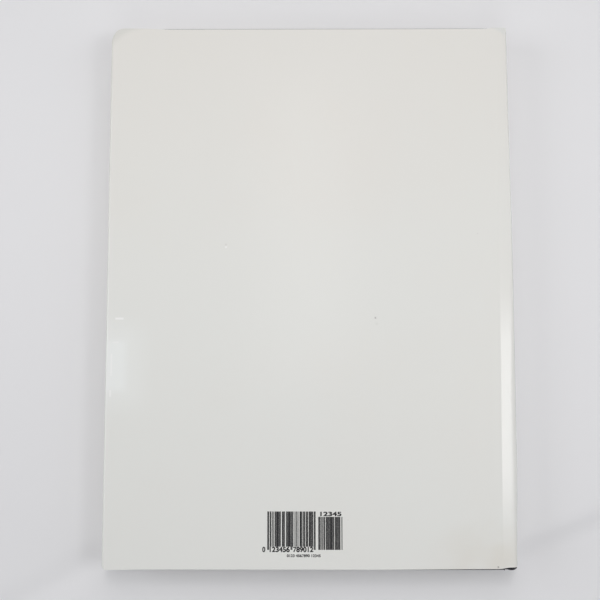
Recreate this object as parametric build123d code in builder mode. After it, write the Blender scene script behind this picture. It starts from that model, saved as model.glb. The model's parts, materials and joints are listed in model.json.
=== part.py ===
"""Hardcover book in a dust jacket, lying closed on its front cover.

The frame has +X towards the spine, +Y towards the head and +Z up through the back cover. Its
origin is the middle of the underside. All sizes are in millimetres.
"""

import os
from math import asin, degrees, sqrt

from build123d import *

os.makedirs("parts", exist_ok=True)

# The leaves, trimmed, with a rounded and backed spine
leaf_width = 223.0
leaf_height = 302.5
block_thickness = 16.0
spine_rise = 4.0  # how far the rounded back stands out past its shoulders
shoulder_flare = 2.3  # how far backing bends the outer leaves out
flare_run = 4.0  # the width of leaf that it bends

# Sheets and boards
endpaper_thickness = 0.2
jacket_thickness = 0.2
cloth_thickness = 0.35
board_thickness = 2.5
inlay_thickness = 0.8
lining_thickness = 0.3

# The case
square = 3.2  # how far the boards stand past the leaves
joint_gap = 3.5  # from the shoulder to the board
turn_in_width = 15.0
board_ease = 0.7  # how far a board's crushed rims are cut back
rim_bend = 1.1  # the cloth's bend over those rims, on its inside
nose_radius = 0.9  # the cloth's bend over the edge of the inlay
inlay_inset = 1.0  # from the line of a shoulder to the edge of the inlay
hollow = 0.3  # from the lining to the inlay of the hollow back

# The jacket
flap_width = 90.0
head_corner = 8.0  # the bumped corner at the head
tail_corner = 2.4
shoulder_bend = 2.5
joint_lip = 0.7  # how far the spine's own stretch reaches over the joint
tail_skew = 0.4  # the jacket stands short of the case at the tail, by this much at the joint
spine_skew = 0.7  # and by this much along the spine

# The bands at the ends of the spine
bead_radius = 0.9
bead_sides = 8
tape_width = 8.0

# Clearances
opening_gap = 0.3  # from a cover to the leaf that faces it
jacket_slack = 0.1  # from the case to the jacket along the spine
groove_gap = 0.35  # from the cloth in the joint to the board
slip = 0.05  # between sheets that are bent over one another
overrun = 5.0  # how far a cutting shape passes what it cuts

# The bar code, with its extra code on the right
module = 0.28  # its narrowest bar
ink_gain = 0.16  # how much wider than that the ink has spread
bar_height = 19.2
guard_drop = 1.7  # how far the guard bars stand below the others
extra_drop = 2.9  # how far below the main bars the extra ones start
code_gap = 1.7  # between the two codes
code_left = -24.2
code_tail = 11.0  # from the tail of the case up to the guard bars
ink_thickness = 0.02

# Heights above the middle of the leaves, counted outwards through one cover
leaf_face = block_thickness / 2
flyleaf_face = leaf_face + endpaper_thickness
flap_face = flyleaf_face + opening_gap
pastedown_face = flap_face + jacket_thickness
turn_in_face = pastedown_face + endpaper_thickness
board_face = turn_in_face + cloth_thickness
board_top = board_face + board_thickness
cloth_top = board_top + cloth_thickness
jacket_top = cloth_top + jacket_thickness
mid_z = jacket_top
mid_plane = Plane.XY.offset(mid_z)

# The round of the spine: an arc over the shoulders, and the layers outside it
half_chord = leaf_face + shoulder_flare
spine_radius = (half_chord**2 + spine_rise**2) / (2 * spine_rise)
spine_angle = degrees(asin(half_chord / spine_radius))
lining_out = spine_radius + lining_thickness
inlay_in = lining_out + hollow
inlay_out = inlay_in + inlay_thickness
cloth_in = inlay_out + slip
cloth_out = cloth_in + cloth_thickness
jacket_in = cloth_out + jacket_slack
jacket_out = jacket_in + jacket_thickness

# Places across the book, from the fore-edge to the spine
spine_reach = spine_rise + jacket_out - spine_radius
wrap = cloth_thickness + jacket_thickness
overall_width = leaf_width + square + wrap + spine_reach
shoulder_x = overall_width / 2 - spine_reach
spine_axis_x = shoulder_x + spine_rise - spine_radius
leaf_fore_x = shoulder_x - leaf_width
board_fore_x = leaf_fore_x - square
board_spine_x = shoulder_x - joint_gap
jacket_fore_x = board_fore_x - wrap
flap_edge_x = jacket_fore_x + flap_width
lip_x = shoulder_x - joint_lip
groove_x = board_spine_x + groove_gap

# Places along the book
leaf_half = leaf_height / 2
board_half = leaf_half + square
case_half = board_half + cloth_thickness
head_plane = Plane.XZ.offset(-case_half)

# The flare at each shoulder is an arc about a line outside the leaves
flare_radius = (flare_run**2 + shoulder_flare**2) / (2 * shoulder_flare)
flare_angle = degrees(asin(flare_run / flare_radius))
flare_x = shoulder_x - flare_run
flare_height = leaf_face + flare_radius


def flare_arc(radius):
    """The arc of the flare over the upper shoulder, at this radius about its own line."""
    return CenterArc((flare_x, mid_z + flare_height), radius, 3 * 90, flare_angle)


def layer(inner, outer, angle):
    """A layer of the spine in section: a ring between two radii, to this angle on each side."""
    with BuildSketch() as ring:
        with BuildLine():
            low = CenterArc((spine_axis_x, mid_z), inner, -angle, 2 * angle)
            high = CenterArc((spine_axis_x, mid_z), outer, -angle, 2 * angle)
            Line(low @ 0, high @ 0)
            Line(low @ 1, high @ 1)
        make_face()
    return ring.sketch


def rounded_back(radius, half, left, bend):
    """The spine in section: its round, cut flat above and below, with a bend where they meet."""
    with BuildSketch() as back:
        with Locations((spine_axis_x, mid_z)):
            Circle(radius)
        with Locations((left, mid_z)):
            Rectangle(overall_width, 2 * half, align=(Align.MIN, Align.CENTER), mode=Mode.INTERSECT)
        fillet(back.vertices().group_by(Axis.Y)[-1].sort_by(Axis.X)[-1], bend)
        fillet(back.vertices().group_by(Axis.Y)[0].sort_by(Axis.X)[-1], bend)
    return back.sketch


def shouldered_back(radius, groove_radius, nose):
    """The spine in section, as the case cloth wraps it: its round, hollowed by both joints."""
    with BuildSketch() as back:
        with Locations((spine_axis_x, mid_z)):
            Circle(radius)
        for side in (1, -1):
            with Locations((flare_x, mid_z + side * flare_height)):
                Circle(groove_radius, mode=Mode.SUBTRACT)
                Rectangle(
                    joint_gap,
                    2 * groove_radius,
                    align=(Align.MAX, Align.CENTER),
                    mode=Mode.SUBTRACT,
                )
        with Locations((groove_x, mid_z)):
            Rectangle(overall_width, overall_width, align=(Align.MIN, Align.CENTER), mode=Mode.INTERSECT)
        fillet(back.vertices().sort_by(Axis.Y)[-1], nose)
        fillet(back.vertices().sort_by(Axis.Y)[0], nose)
    return back.sketch


def cover_outline(fore_x, half, head_radius, tail_radius):
    """A cover seen from above, square at the joint and rounded at its two fore-edge corners."""
    with BuildSketch() as outline:
        with Locations((board_spine_x, 0)):
            Rectangle(board_spine_x - fore_x, 2 * half, align=(Align.MAX, Align.CENTER))
        fillet(outline.vertices().group_by(Axis.X)[0].sort_by(Axis.Y)[-1], head_radius)
        fillet(outline.vertices().group_by(Axis.Y)[0].sort_by(Axis.X)[0], tail_radius)
    return outline.sketch


def rims(piece, level):
    """The edges round a cover's top (-1) or underside (0), apart from the one along the joint."""
    return piece.edges().group_by(Axis.Z)[level].sort_by(Axis.X)[:-1]


def corner_under(folded):
    """The radius of a case corner that fits inside a corner of the jacket.

    The jacket's own corner is inside by its thickness, and ends flush with the case: a circle
    through that end, tangent to both edges of the case, has this radius.
    """
    room = jacket_thickness + slip
    inside = folded - jacket_thickness
    return inside + room + sqrt(2 * room * inside)


# The leaves
with BuildPart() as text_block:
    with BuildSketch(Plane.XZ):
        with BuildLine():
            fore = ThreePointArc(
                (leaf_fore_x, mid_z - leaf_face),
                (leaf_fore_x + spine_rise, mid_z),
                (leaf_fore_x, mid_z + leaf_face),
            )
            upper_flare = flare_arc(flare_radius)
            Line(fore @ 1, upper_flare @ 0)
            ThreePointArc(
                upper_flare @ 1,
                (shoulder_x + spine_rise, mid_z),
                (shoulder_x, mid_z - half_chord),
            )
            lower_flare = CenterArc(
                (flare_x, mid_z - flare_height), flare_radius, 90 - flare_angle, flare_angle
            )
            Line(lower_flare @ 1, fore @ 0)
        make_face()
    extrude(amount=leaf_half, both=True)
text_block.part.label = "text_block"
export_step(text_block.part, "parts/text_block.step")

# The free endpapers follow the outer leaves up over the shoulders
with BuildPart() as back_free_endpaper:
    with BuildSketch(Plane.XZ):
        with BuildLine():
            under = flare_arc(flare_radius)
            over = flare_arc(flare_radius - endpaper_thickness)
            Line(under @ 1, over @ 1)
            Polyline(
                under @ 0,
                (leaf_fore_x, mid_z + leaf_face),
                (leaf_fore_x, mid_z + flyleaf_face),
                over @ 0,
            )
        make_face()
    extrude(amount=leaf_half, both=True)
back_free_endpaper.part.label = "back_free_endpaper"
export_step(back_free_endpaper.part, "parts/back_free_endpaper.step")

with BuildPart() as front_free_endpaper:
    mirror(back_free_endpaper.part, about=mid_plane)
front_free_endpaper.part.label = "front_free_endpaper"
export_step(front_free_endpaper.part, "parts/front_free_endpaper.step")

# The head and tail bands: a bead on the edge of the leaves, and its tape down the back
tape_section = layer(spine_radius, lining_out, spine_angle)
bead_plane = Plane(
    Location((spine_axis_x, leaf_half + bead_radius, mid_z), (0, spine_angle, 0))
)
with BuildPart() as headband:
    with BuildSketch(bead_plane):
        with Locations((lining_out - bead_radius, 0)):
            RegularPolygon(bead_radius, bead_sides)
    revolve(
        axis=Axis((spine_axis_x, 0, mid_z), (0, -1, 0)),
        revolution_arc=2 * spine_angle,
    )
    with BuildSketch(Plane.XZ.offset(-leaf_half - bead_radius)):
        add(tape_section)
    extrude(amount=tape_width + bead_radius)
headband.part.label = "headband"
export_step(headband.part, "parts/headband.step")

with BuildPart() as tailband:
    mirror(headband.part, about=Plane.XZ)
tailband.part.label = "tailband"
export_step(tailband.part, "parts/tailband.step")

# The lining, glued to the back between the two tapes
with BuildPart() as spine_lining:
    with BuildSketch(Plane.XZ):
        add(tape_section)
    extrude(amount=leaf_half - tape_width, both=True)
spine_lining.part.label = "spine_lining"
export_step(spine_lining.part, "parts/spine_lining.step")

# The inlay is a strip of card inside the cloth, clear of the leaves
inlay_angle = spine_angle - degrees(inlay_inset / inlay_out)
inlay_section = layer(inlay_in, inlay_out, inlay_angle)
with BuildPart() as spine_inlay:
    with BuildSketch(Plane.XZ):
        add(inlay_section)
    extrude(amount=board_half, both=True)
spine_inlay.part.label = "spine_inlay"
export_step(spine_inlay.part, "parts/spine_inlay.step")

# The case cloth over the spine, tucked into both joints
groove_radius = flare_radius - endpaper_thickness - slip
cloth_outside = shouldered_back(
    cloth_out, groove_radius - cloth_thickness, nose_radius + cloth_thickness
)
cloth_inside = shouldered_back(cloth_in, groove_radius, nose_radius)
with BuildPart() as spine_case_cloth:
    with BuildSketch(Plane.XZ):
        add(cloth_outside)
        add(cloth_inside, mode=Mode.SUBTRACT)
    extrude(amount=case_half, both=True)
spine_case_cloth.part.label = "spine_case_cloth"
export_step(spine_case_cloth.part, "parts/spine_case_cloth.step")

# The boards
case_head_corner = corner_under(head_corner)
case_tail_corner = corner_under(tail_corner)
board_outline = cover_outline(
    board_fore_x, board_half, case_head_corner - cloth_thickness, case_tail_corner - cloth_thickness
)
with BuildPart() as back_board:
    with BuildSketch(Plane.XY.offset(mid_z + board_face)):
        add(board_outline)
    extrude(amount=board_thickness)
    chamfer(rims(back_board, -1) + rims(back_board, 0), board_ease)
back_board.part.label = "back_board"
export_step(back_board.part, "parts/back_board.step")

with BuildPart() as front_board:
    mirror(back_board.part, about=mid_plane)
front_board.part.label = "front_board"
export_step(front_board.part, "parts/front_board.step")

# The case cloth over each board, turned in on three sides
case_outline = cover_outline(
    board_fore_x - cloth_thickness, case_half, case_head_corner, case_tail_corner
)
window_width = board_spine_x - board_fore_x - turn_in_width
window_height = 2 * (board_half - turn_in_width)
with BuildPart() as back_case_cloth:
    with BuildSketch(Plane.XY.offset(mid_z + turn_in_face)):
        add(case_outline)
    extrude(amount=cloth_top - turn_in_face)
    fillet(rims(back_case_cloth, -1) + rims(back_case_cloth, 0), rim_bend + cloth_thickness)
    add(back_board.part, mode=Mode.SUBTRACT)
    with BuildSketch(Plane.XY.offset(mid_z + turn_in_face)):
        with Locations((board_spine_x, 0)):
            Rectangle(window_width, window_height, align=(Align.MAX, Align.CENTER))
    extrude(amount=cloth_thickness, mode=Mode.SUBTRACT)
back_case_cloth.part.label = "back_case_cloth"
export_step(back_case_cloth.part, "parts/back_case_cloth.step")

with BuildPart() as front_case_cloth:
    mirror(back_case_cloth.part, about=mid_plane)
front_case_cloth.part.label = "front_case_cloth"
export_step(front_case_cloth.part, "parts/front_case_cloth.step")

# The pastedowns lie over the turn-ins, and drop onto the board between them
with BuildPart() as back_pastedown:
    with BuildSketch(Plane.XY.offset(mid_z + pastedown_face)):
        with Locations((board_spine_x, 0)):
            Rectangle(board_spine_x - leaf_fore_x, leaf_height, align=(Align.MAX, Align.CENTER))
    extrude(amount=endpaper_thickness)
    with BuildSketch(Plane.XY.offset(mid_z + turn_in_face)):
        with Locations((board_spine_x, 0)):
            Rectangle(window_width, window_height, align=(Align.MAX, Align.CENTER))
    extrude(amount=cloth_thickness)
    with BuildSketch(Plane.XY.offset(mid_z + pastedown_face)):
        with Locations((board_spine_x, 0)):
            Rectangle(
                window_width - endpaper_thickness,
                window_height - 2 * endpaper_thickness,
                align=(Align.MAX, Align.CENTER),
            )
    extrude(amount=cloth_thickness, mode=Mode.SUBTRACT)
back_pastedown.part.label = "back_pastedown"
export_step(back_pastedown.part, "parts/back_pastedown.step")

with BuildPart() as front_pastedown:
    mirror(back_pastedown.part, about=mid_plane)
front_pastedown.part.label = "front_pastedown"
export_step(front_pastedown.part, "parts/front_pastedown.step")


def folded_form(inset, past, bend, low, high):
    """A form that the jacket's sheet folds round at the fore-edge.

    Its two corners are rounded, and beyond them it runs straight out to the head and the tail,
    past the case by the given length. The inset takes it from the sheet's outside to its inside.
    """
    outline = cover_outline(
        jacket_fore_x + inset, case_half - inset, head_corner - inset, tail_corner - inset
    )
    with BuildPart() as form:
        with BuildSketch(Plane.XY.offset(mid_z + low)):
            add(outline)
        extrude(amount=high - low)
        fillet(rims(form, -1) + rims(form, 0), bend)
        for corner, side in ((head_corner, Align.MIN), (tail_corner, Align.MAX)):
            with BuildSketch(Plane.XY.offset(mid_z + low)):
                with Locations((board_spine_x + past, 0)):
                    Rectangle(
                        board_spine_x + past - jacket_fore_x - corner,
                        case_half + past,
                        align=(Align.MAX, side),
                    )
            extrude(amount=high - low)
    return form.part


# The jacket over each cover: the panel, the fold round the fore-edge and the flap inside
inner_bend = rim_bend + cloth_thickness - slip
jacket_outside = folded_form(0, 0, inner_bend + jacket_thickness, flap_face, jacket_top)
jacket_inside = folded_form(jacket_thickness, overrun, inner_bend, pastedown_face, cloth_top)
with BuildPart() as jacket_back:
    add(jacket_outside)
    add(jacket_inside, mode=Mode.SUBTRACT)
    with BuildSketch(Plane.XY.offset(mid_z + flap_face)):
        with Locations((flap_edge_x, 0)):
            Rectangle(overall_width, 2 * (case_half + overrun), align=(Align.MIN, Align.CENTER))
    extrude(amount=jacket_thickness, mode=Mode.SUBTRACT)
    with BuildSketch(Plane.XY):
        with BuildLine():
            Polyline(
                (jacket_fore_x + tail_corner, -case_half),
                (board_spine_x, tail_skew - case_half),
                (board_spine_x, -case_half - overrun),
                (jacket_fore_x + tail_corner, -case_half),
                close=True,
            )
        make_face()
    extrude(amount=2 * mid_z, mode=Mode.SUBTRACT)
jacket_back.part.label = "jacket_back"
export_step(jacket_back.part, "parts/jacket_back.step")

with BuildPart() as jacket_front:
    mirror(jacket_back.part, about=mid_plane)
jacket_front.part.label = "jacket_front"
export_step(jacket_front.part, "parts/jacket_front.step")

# The jacket round the spine, a little short of the case at the tail
spine_outside = rounded_back(jacket_out, jacket_top, lip_x, shoulder_bend + jacket_thickness)
spine_inside = rounded_back(jacket_in, cloth_top, lip_x - overrun, shoulder_bend)
with BuildPart() as jacket_spine:
    with BuildSketch(head_plane):
        add(spine_outside)
        add(spine_inside, mode=Mode.SUBTRACT)
    extrude(amount=2 * case_half - spine_skew)
jacket_spine.part.label = "jacket_spine"
export_step(jacket_spine.part, "parts/jacket_spine.step")

# The jacket's two bends over the joints, between the spine and the panels
with BuildPart() as jacket_back_joint:
    with BuildSketch(Plane.XY.offset(mid_z + cloth_top)):
        with BuildLine():
            Polyline(
                (board_spine_x, case_half),
                (lip_x, case_half),
                (lip_x, spine_skew - case_half),
                (board_spine_x, tail_skew - case_half),
                close=True,
            )
        make_face()
    extrude(amount=jacket_thickness)
jacket_back_joint.part.label = "jacket_back_joint"
export_step(jacket_back_joint.part, "parts/jacket_back_joint.step")

with BuildPart() as jacket_front_joint:
    mirror(jacket_back_joint.part, about=mid_plane)
jacket_front_joint.part.label = "jacket_front_joint"
export_step(jacket_front_joint.part, "parts/jacket_front_joint.step")

# The bar code holds only a made-up number, counted up from nought. Each digit is seven
# modules wide, and its pattern is one of three: odd, even (the odd one inverted and read
# backwards) or right-hand (the odd one inverted).
odd_patterns = (
    "0001101 0011001 0010011 0111101 0100011 0110001 0101111 0111011 0110111 0001011".split()
)
main_number = "0123456789012"
extra_number = "12345"
extra_order = "OEOEO"


def inverted(pattern):
    return "".join("1" if mark == "0" else "0" for mark in pattern)


def even(pattern):
    return inverted(pattern)[::-1]


left_digits = "".join(odd_patterns[int(d)] for d in main_number[1:7])
right_digits = "".join(inverted(odd_patterns[int(d)]) for d in main_number[7:])
main_pattern = "101" + left_digits + "01010" + right_digits + "101"
extra_pattern = "1011" + "01".join(
    odd_patterns[int(d)] if order == "O" else even(odd_patterns[int(d)])
    for d, order in zip(extra_number, extra_order)
)


def bars(pattern):
    """The start and the width of each bar of a pattern, in modules."""
    edges = [i for i in range(len(pattern) + 1) if f"0{pattern}0"[i] != f"0{pattern}0"[i + 1]]
    return [(start, end - start) for start, end in zip(edges[::2], edges[1::2])]


guard_low = code_tail - case_half
main_low = guard_low + guard_drop
main_high = main_low + bar_height
middle = len("101") + len(left_digits)
extra_left = code_left + len(main_pattern) * module + code_gap
with BuildPart() as barcode_print:
    with BuildSketch(Plane.XY.offset(mid_z + jacket_top)):
        for start, width in bars(main_pattern):
            is_guard = (
                start < len("101")
                or middle < start < middle + len("01010")
                or start >= len(main_pattern) - len("101")
            )
            low = guard_low if is_guard else main_low
            with Locations((code_left + start * module - ink_gain / 2, low)):
                Rectangle(width * module + ink_gain, main_high - low, align=(Align.MIN, Align.MIN))
        for start, width in bars(extra_pattern):
            with Locations((extra_left + start * module - ink_gain / 2, guard_low)):
                Rectangle(
                    width * module + ink_gain,
                    main_high - extra_drop - guard_low,
                    align=(Align.MIN, Align.MIN),
                )
    extrude(amount=ink_thickness)
barcode_print.part.label = "barcode_print"
export_step(barcode_print.part, "parts/barcode_print.step")
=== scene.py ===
# %% [markdown]
# # A hardcover book in its dust jacket
#
# The book lies closed on a pale table, front cover down, and we look at its back from above. What
# we see of it is mostly one sheet of paper: the jacket, white and laminated, folded round the
# fore-edge and over the spine. Under it are the case in black cloth, the endpapers and the leaves.
# This lesson builds each of them as a surface worked out with numpy.

# %% Start from the frame
import json

import bpy
import numpy as np
from mathutils import Matrix, Vector


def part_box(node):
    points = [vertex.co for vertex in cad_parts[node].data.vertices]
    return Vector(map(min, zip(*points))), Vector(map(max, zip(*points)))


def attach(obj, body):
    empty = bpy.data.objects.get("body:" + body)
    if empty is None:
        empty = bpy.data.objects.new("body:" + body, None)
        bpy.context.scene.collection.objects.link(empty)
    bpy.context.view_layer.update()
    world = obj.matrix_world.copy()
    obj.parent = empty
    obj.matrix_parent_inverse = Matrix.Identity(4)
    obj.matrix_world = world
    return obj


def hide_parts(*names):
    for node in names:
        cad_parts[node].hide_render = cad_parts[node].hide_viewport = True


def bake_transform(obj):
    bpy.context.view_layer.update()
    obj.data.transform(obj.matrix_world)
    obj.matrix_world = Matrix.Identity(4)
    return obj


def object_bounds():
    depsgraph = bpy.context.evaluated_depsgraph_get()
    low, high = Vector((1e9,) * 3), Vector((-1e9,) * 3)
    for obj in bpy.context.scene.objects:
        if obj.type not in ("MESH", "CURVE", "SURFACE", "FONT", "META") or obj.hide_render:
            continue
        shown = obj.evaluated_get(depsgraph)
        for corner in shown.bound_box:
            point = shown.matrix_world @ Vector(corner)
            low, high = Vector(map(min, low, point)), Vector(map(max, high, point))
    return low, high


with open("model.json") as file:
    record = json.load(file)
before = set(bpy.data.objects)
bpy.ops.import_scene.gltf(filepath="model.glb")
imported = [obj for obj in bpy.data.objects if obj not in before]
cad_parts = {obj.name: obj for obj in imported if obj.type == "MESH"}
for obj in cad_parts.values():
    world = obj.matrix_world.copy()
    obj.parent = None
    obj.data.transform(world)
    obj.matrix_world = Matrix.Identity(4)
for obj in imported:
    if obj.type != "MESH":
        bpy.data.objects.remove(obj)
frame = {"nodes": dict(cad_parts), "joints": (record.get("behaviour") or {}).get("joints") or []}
cad_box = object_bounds()

mm = 0.001
rng = np.random.default_rng(1843)

# %% [markdown]
# ## Sizes from the frame
#
# A real binder measures the finished block before cutting the case. We do the same: the boxes of
# the solids give every place that the new surfaces have to meet, so nothing is fitted by eye.
# Heights are counted from the middle of the leaves, because both covers are alike from there.

# %% Measure the solids
block_low, block_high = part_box("text_block")
flyleaf_low, flyleaf_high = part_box("back_free_endpaper")
board_low, board_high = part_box("back_board")
case_low, case_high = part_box("back_case_cloth")
pastedown_low, pastedown_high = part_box("back_pastedown")
panel_low, panel_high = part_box("jacket_back")
spine_low, spine_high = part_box("jacket_spine")
strip_low, strip_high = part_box("jacket_back_joint")
spine_cloth_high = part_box("spine_case_cloth")[1]
lining_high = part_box("spine_lining")[1]
code_low, code_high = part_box("barcode_print")

middle = (block_low.z + block_high.z) / 2
leaf_face = flyleaf_low.z - middle
shoulder_top = block_high.z - middle
flap_face = panel_low.z - middle
pastedown_face = pastedown_low.z - middle
board_top = board_high.z - middle
case_top = case_high.z - middle
jacket_top = panel_high.z - middle
jacket_thick = strip_high.z - strip_low.z
cloth_thick = case_high.z - board_high.z
paper_thick = flap_face - leaf_face - 0.3 * mm

shoulder_x = flyleaf_high.x
leaf_fore_x = block_low.x
board_spine_x = board_high.x
jacket_fore_x = panel_low.x
leaf_half = block_high.y
case_half = case_high.y

# The round of the spine is an arc through both shoulders and the top of the rise
spine_rise = block_high.x - shoulder_x
spine_radius = (shoulder_top**2 + spine_rise**2) / (2 * spine_rise)
axis_x = block_high.x - spine_radius
spine_angle = np.arcsin(shoulder_top / spine_radius)
cloth_radius = spine_cloth_high.x - axis_x
jacket_radius = spine_high.x - axis_x
lining_radius = lining_high.x - axis_x

# The flare that backing gives the outer leaves is an arc too, round a line above the joint
flare_run = 4.0 * mm
flare_rise = shoulder_top - leaf_face
flare_radius = (flare_run**2 + flare_rise**2) / (2 * flare_rise)
flare_x = shoulder_x - flare_run
flare_z = leaf_face + flare_radius

# Both lines as places in the section, because the sheets' arcs are drawn round them
spine_axis = np.array((axis_x, 0.0))
flare_axis = np.array((flare_x, flare_z))
print(f"leaves {2 * leaf_half / mm:.1f} mm tall, spine radius {spine_radius / mm:.2f} mm")

# %% [markdown]
# ## The camera
#
# The photograph was taken by hand from about half a metre above the book, a little to its tail
# side and nearly straight down. The place and the two directions come from fitting the book's four
# edges and the bar code in the picture. A matrix of three directions says all of it at once, which
# is safer than three angles when the camera looks down.

# %% Place the camera
camera_place = Vector((-2.98, -51.6, 533.84)) * mm
camera_look = Vector((-0.00623, 0.09156, -0.99578)).normalized()
camera_up = Vector((0.00053, 0.9958, 0.09156))

camera_side = camera_look.cross(camera_up).normalized()
camera_up = camera_side.cross(camera_look)
camera_data = bpy.data.cameras.new("camera")
camera_data.lens = 54
camera_data.sensor_width = 36
camera_data.clip_start = 0.01
camera = bpy.data.objects.new("camera", camera_data)
bpy.context.scene.collection.objects.link(camera)
axes = Matrix((camera_side, camera_up, -camera_look)).transposed().to_4x4()
camera.matrix_world = Matrix.Translation(camera_place) @ axes
bpy.context.scene.camera = camera

# %% [markdown]
# ## A pen for materials
#
# A material is a net of nodes. Written out node by node it is long and hard to read, so we wrap a
# socket in a small class: sums of wires become Math nodes, and one method makes any other node.

# %% The pen
class Wire:
    """A value in a material's node tree. Sums, products and limits of wires are Math nodes."""

    def __init__(self, tree, socket):
        self.tree = tree
        self.socket = socket

    def node(self, kind, settings, sockets, output=0):
        """A node of this kind: its settings are set first, then its sockets, by name or number."""
        made = self.tree.nodes.new(kind)
        for name, value in settings.items():
            setattr(made, name, value)
        for name, value in sockets.items():
            if isinstance(value, Wire):
                self.tree.links.new(value.socket, made.inputs[name])
            else:
                made.inputs[name].default_value = value
        return Wire(self.tree, made.outputs[output])

    def math(self, operation, *values):
        """A Math node on these values, of which at least one is a wire."""
        return self.node("ShaderNodeMath", {"operation": operation}, dict(enumerate(values)))

    def __add__(self, other):
        return self.math("ADD", self, other)

    def __sub__(self, other):
        return self.math("SUBTRACT", self, other)

    def __rsub__(self, other):
        return self.math("SUBTRACT", other, self)

    def __mul__(self, other):
        return self.math("MULTIPLY", self, other)

    def __pow__(self, other):
        return self.math("POWER", self, other)

    __radd__ = __add__
    __rmul__ = __mul__

    def ramp(self, start, end, low=0.0, high=1.0):
        """A smooth step from low to high while this wire goes from start to end."""
        sockets = {"Value": self, 1: start, 2: end, 3: low, 4: high}
        return self.node("ShaderNodeMapRange", {"interpolation_type": "SMOOTHSTEP"}, sockets)

    def parts(self):
        """The three numbers of a vector."""
        split = self.node("ShaderNodeSeparateXYZ", {}, {0: self}).socket.node
        return [Wire(self.tree, number) for number in split.outputs]

    def scaled(self, x, y, z):
        """A vector stretched along each of its axes."""
        return self.node("ShaderNodeVectorMath", {"operation": "MULTIPLY"}, {0: self, 1: (x, y, z)})

    def wave(self, length):
        """A sine wave along this wire, which repeats after this length."""
        return self.math("SINE", self * (2 * np.pi / length))

    def noise(self, scale, detail=2.0, roughness=0.5):
        """Soft random hills, from 0 to 1."""
        sockets = {"Vector": self, "Scale": scale, "Detail": detail, "Roughness": roughness}
        return self.node("ShaderNodeTexNoise", {}, sockets)

    def mix(self, low, high):
        """One colour where this wire is 0, the other where it is 1."""
        sockets = {0: self, 6: low, 7: high}
        return self.node("ShaderNodeMix", {"data_type": "RGBA"}, sockets, output=2)

    def bump(self, depth, strength=1.0):
        """A Bump node whose hills, where this wire is 1, are this deep."""
        sockets = {"Height": self, "Distance": depth, "Strength": strength}
        return self.node("ShaderNodeBump", {}, sockets)


class Material:
    """A material with one Principled shader, and the wires that its patterns start from."""

    def __init__(self, name, **plain):
        self.made = bpy.data.materials.new(name)
        self.made.use_nodes = True
        self.tree = self.made.node_tree
        self.shader = self.tree.nodes["Principled BSDF"]
        for socket, value in plain.items():
            self.shader.inputs[socket.replace("_", " ")].default_value = value

    def coordinates(self):
        """The place on the piece, which is the same as the place in the book at rest."""
        node = self.tree.nodes.new("ShaderNodeTexCoord")
        return Wire(self.tree, node.outputs["Object"])

    def attribute(self, name):
        """A number that the mesh keeps for each of its points."""
        node = self.tree.nodes.new("ShaderNodeAttribute")
        node.attribute_name = name
        return Wire(self.tree, node.outputs["Fac"])

    def set(self, socket, wire):
        """Feeds one of the shader's sockets with a wire."""
        self.tree.links.new(wire.socket, self.shader.inputs[socket])


def colour(red, green, blue):
    return (red, green, blue, 1.0)


# %% [markdown]
# ## Sheets from grids
#
# Paper and cloth have two faces and an edge. We work out the outer and the inner face as two grids
# of the same size, join them along their rims, and get one closed skin. A grid's first direction
# runs across the book, along the sheet's section, and its second direction runs from tail to head.

# %% Grids, sections and skins
def grid_faces(rows, columns, first=0, turned=False):
    """The quads of a grid of points that are numbered row by row, starting at first."""
    corner = first + np.arange(rows - 1)[:, None] * columns + np.arange(columns - 1)
    quads = np.stack((corner, corner + columns, corner + columns + 1, corner + 1), axis=-1)
    return (quads[..., ::-1] if turned else quads).reshape(-1, 4)


def mesh_piece(name, points, faces, material):
    """A mesh object of these points and faces, smooth but for its sharp edges, facing outwards."""
    mesh = bpy.data.meshes.new(name)
    mesh.from_pydata(points.reshape(-1, 3).tolist(), [], faces.tolist())
    mesh.validate()
    mesh.shade_smooth()
    mesh.set_sharp_from_angle(angle=np.radians(40))
    mesh.materials.append(material)
    piece = bpy.data.objects.new(name, mesh)
    bpy.context.scene.collection.objects.link(piece)
    print(f"{name}: {len(mesh.vertices)} points, {len(mesh.polygons)} faces")
    return piece


def sheet_piece(name, outer, inner, material, turned=False):
    """A closed sheet: its outer grid, its inner grid, and a band of quads round their rims."""
    rows, columns = outer.shape[:2]
    count = rows * columns
    numbers = np.arange(count).reshape(rows, columns)
    rim = np.concatenate(
        (numbers[0, :-1], numbers[:-1, -1], numbers[-1, :0:-1], numbers[:0:-1, 0])
    )
    ahead = np.roll(rim, -1)
    band = np.stack((rim, ahead, ahead + count, rim + count), axis=-1)
    faces = np.concatenate(
        (
            grid_faces(rows, columns, 0, turned),
            grid_faces(rows, columns, count, not turned),
            band[:, ::-1] if turned else band,
        )
    )
    return mesh_piece(name, np.stack((outer, inner)), faces, material)


def smooth(value, start, end):
    """The smooth step: 0 before start, 1 after end, with no corner between."""
    t = np.clip((value - start) / (end - start), 0, 1)
    return t * t * (3 - 2 * t)


def line(start, end, count):
    """Points along a straight stretch of a section, which may differ from column to column."""
    t = np.linspace(0, 1, count)[:, None, None]
    return start + t * (end - start)


def arc(centre, radius, first, last, count):
    """Points along an arc of a section: the centre plus the radius at evenly spaced angles."""
    angle = first + np.linspace(0, 1, count)[:, None] * (last - first)
    turn = np.stack(np.broadcast_arrays(np.cos(angle), np.sin(angle)), axis=-1)
    return centre + radius * turn


def chain(columns, *stretches):
    """Stretches of a section joined end to end, each spread over all columns."""
    whole = [np.broadcast_to(s, (s.shape[0], columns, 2)) for s in stretches]
    return np.concatenate([whole[0]] + [s[1:] for s in whole[1:]])


def point(x, z, columns=1):
    """A place in the section, for every column."""
    return np.stack(np.broadcast_arrays(x + np.zeros(columns), z + np.zeros(columns)), axis=-1)


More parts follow.
